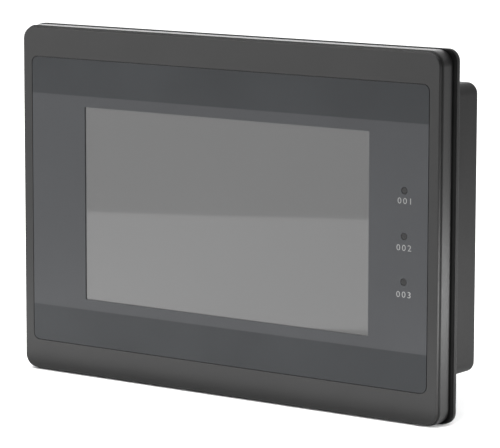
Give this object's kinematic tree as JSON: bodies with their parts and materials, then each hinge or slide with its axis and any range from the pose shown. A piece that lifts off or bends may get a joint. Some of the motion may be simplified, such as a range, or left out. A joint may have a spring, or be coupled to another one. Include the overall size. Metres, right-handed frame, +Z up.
{
  "type": "hmi touch panel",
  "caption": "Panel-mounted operator terminal: wide touch display in a dark stepped bezel, seal, flange and a shallow rear box with ports underneath.",
  "frame": {"origin": "centre of the panel cut-out, on the flange face that seats on the cabinet panel", "axes": "+X right as the operator sees it, +Y into the cabinet, +Z up"},
  "size_m": [0.1406, 0.0264, 0.0976],
  "materials": {
    "bezel_abs": "fine-textured moulded ABS, dark grey",
    "housing_abs": "fine-textured moulded ABS, dark grey",
    "overlay_print": "matt hard-coated polyester film, printed in two greys",
    "touch_film": "satin hard-coated polyester over a display that is off",
    "adhesive_black": "acrylic adhesive tape",
    "foam_black": "closed-cell foam",
    "touch_glass": "float glass with a clear conductive coat",
    "steel_sheet": "pressed steel sheet",
    "cell_glass": "laminated display cell with polariser",
    "white_plastic": "moulded white polycarbonate",
    "screw_zinc": "zinc-plated steel",
    "screw_black": "black-oxide steel",
    "cable_amber": "polyimide flat cable",
    "connector_ivory": "moulded nylon",
    "lamp_chip": "surface-mount lamp",
    "guide_smoked": "smoked clear acrylic",
    "seal_rubber": "black rubber",
    "foil_silver": "blank metallised label",
    "board_green": "solder-masked glass-epoxy board",
    "brass_plated": "turned brass",
    "chip_black": "moulded epoxy",
    "ferrite_grey": "ferrite",
    "capacitor_can": "aluminium can",
    "nickel_shell": "nickel-plated steel",
    "insulator_black": "moulded polyester",
    "contact_gold": "gold-plated contacts",
    "contact_tin": "tinned pins",
    "insert_white": "moulded nylon",
    "insert_black": "moulded nylon",
    "terminal_green": "moulded green polyamide",
    "cell_steel": "stainless steel can",
    "switch_red": "moulded red nylon",
    "slider_white": "moulded white nylon"
  },
  "bodies": {
    "housing": {"front_bezel": "bezel_abs", "front_overlay": "overlay_print", "touch_film": "touch_film", "touch_spacer": "adhesive_black", "display_gasket": "foam_black", "touch_glass": "touch_glass", "lcd_frame": "steel_sheet", "lcd_glass": "cell_glass", "backlight_unit": "white_plastic", "lcd_bracket": "steel_sheet", "bracket_screws": "screw_zinc", "lcd_cable": "cable_amber", "touch_cable": "cable_amber", "display_connector": "connector_ivory", "touch_connector": "connector_ivory", "status_leds": "lamp_chip", "light_guides": "guide_smoked", "housing_seal": "seal_rubber", "rear_housing": "housing_abs", "panel_gasket": "foam_black", "housing_screws": "screw_black", "rating_plate": "foil_silver", "main_board": "board_green", "board_spacers": "brass_plated", "board_screws": "screw_zinc", "processor": "chip_black", "memory_chips": "chip_black", "power_inductor": "ferrite_grey", "filter_capacitors": "capacitor_can", "buzzer": "chip_black", "serial_shell": "nickel_shell", "serial_insulator": "insulator_black", "serial_contacts": "contact_gold", "jack_nuts": "nickel_shell", "usb_device_shell": "nickel_shell", "usb_host_shell": "nickel_shell", "usb_device_insert": "insert_white", "usb_host_insert": "insert_black", "power_socket": "terminal_green", "power_pins": "contact_tin", "battery_holder": "insulator_black", "coin_cell": "cell_steel", "switch_block": "switch_red"},
    "power_plug": {"power_plug": "terminal_green"},
    "terminal_screw_1": {"terminal_screw_1": "screw_zinc"},
    "terminal_screw_2": {"terminal_screw_2": "screw_zinc"},
    "terminal_screw_3": {"terminal_screw_3": "screw_zinc"},
    "battery_door": {"battery_door": "housing_abs"},
    "switch_slider_1": {"switch_slider_1": "slider_white"},
    "switch_slider_2": {"switch_slider_2": "slider_white"}
  },
  "joints": [
    {"name": "plug_pull", "type": "slide", "parent": "housing", "child": "power_plug", "axis": [0, 0, -1], "range_m": [0, 0.012]},
    {"name": "battery_door_hinge", "type": "hinge", "parent": "housing", "child": "battery_door", "pos_m": [-0.022, 0.0168, 0.0244], "axis": [1, 0, 0], "range_deg": [0, 95]},
    {"name": "terminal_screw_1_turn", "type": "hinge", "parent": "power_plug", "child": "terminal_screw_1", "pos_m": [0.02942, 0.0118, -0.0431], "axis": [0, 1, 0], "range_deg": [-720, 0]},
    {"name": "terminal_screw_2_turn", "type": "hinge", "parent": "power_plug", "child": "terminal_screw_2", "pos_m": [0.0345, 0.0118, -0.0431], "axis": [0, 1, 0], "range_deg": [-720, 0]},
    {"name": "terminal_screw_3_turn", "type": "hinge", "parent": "power_plug", "child": "terminal_screw_3", "pos_m": [0.03958, 0.0118, -0.0431], "axis": [0, 1, 0], "range_deg": [-720, 0]},
    {"name": "switch_slider_1_slide", "type": "slide", "parent": "housing", "child": "switch_slider_1", "axis": [0, 0, 1], "range_m": [0, 0.0016]},
    {"name": "switch_slider_2_slide", "type": "slide", "parent": "housing", "child": "switch_slider_2", "axis": [0, 0, 1], "range_m": [0, 0.0016]}
  ]
}
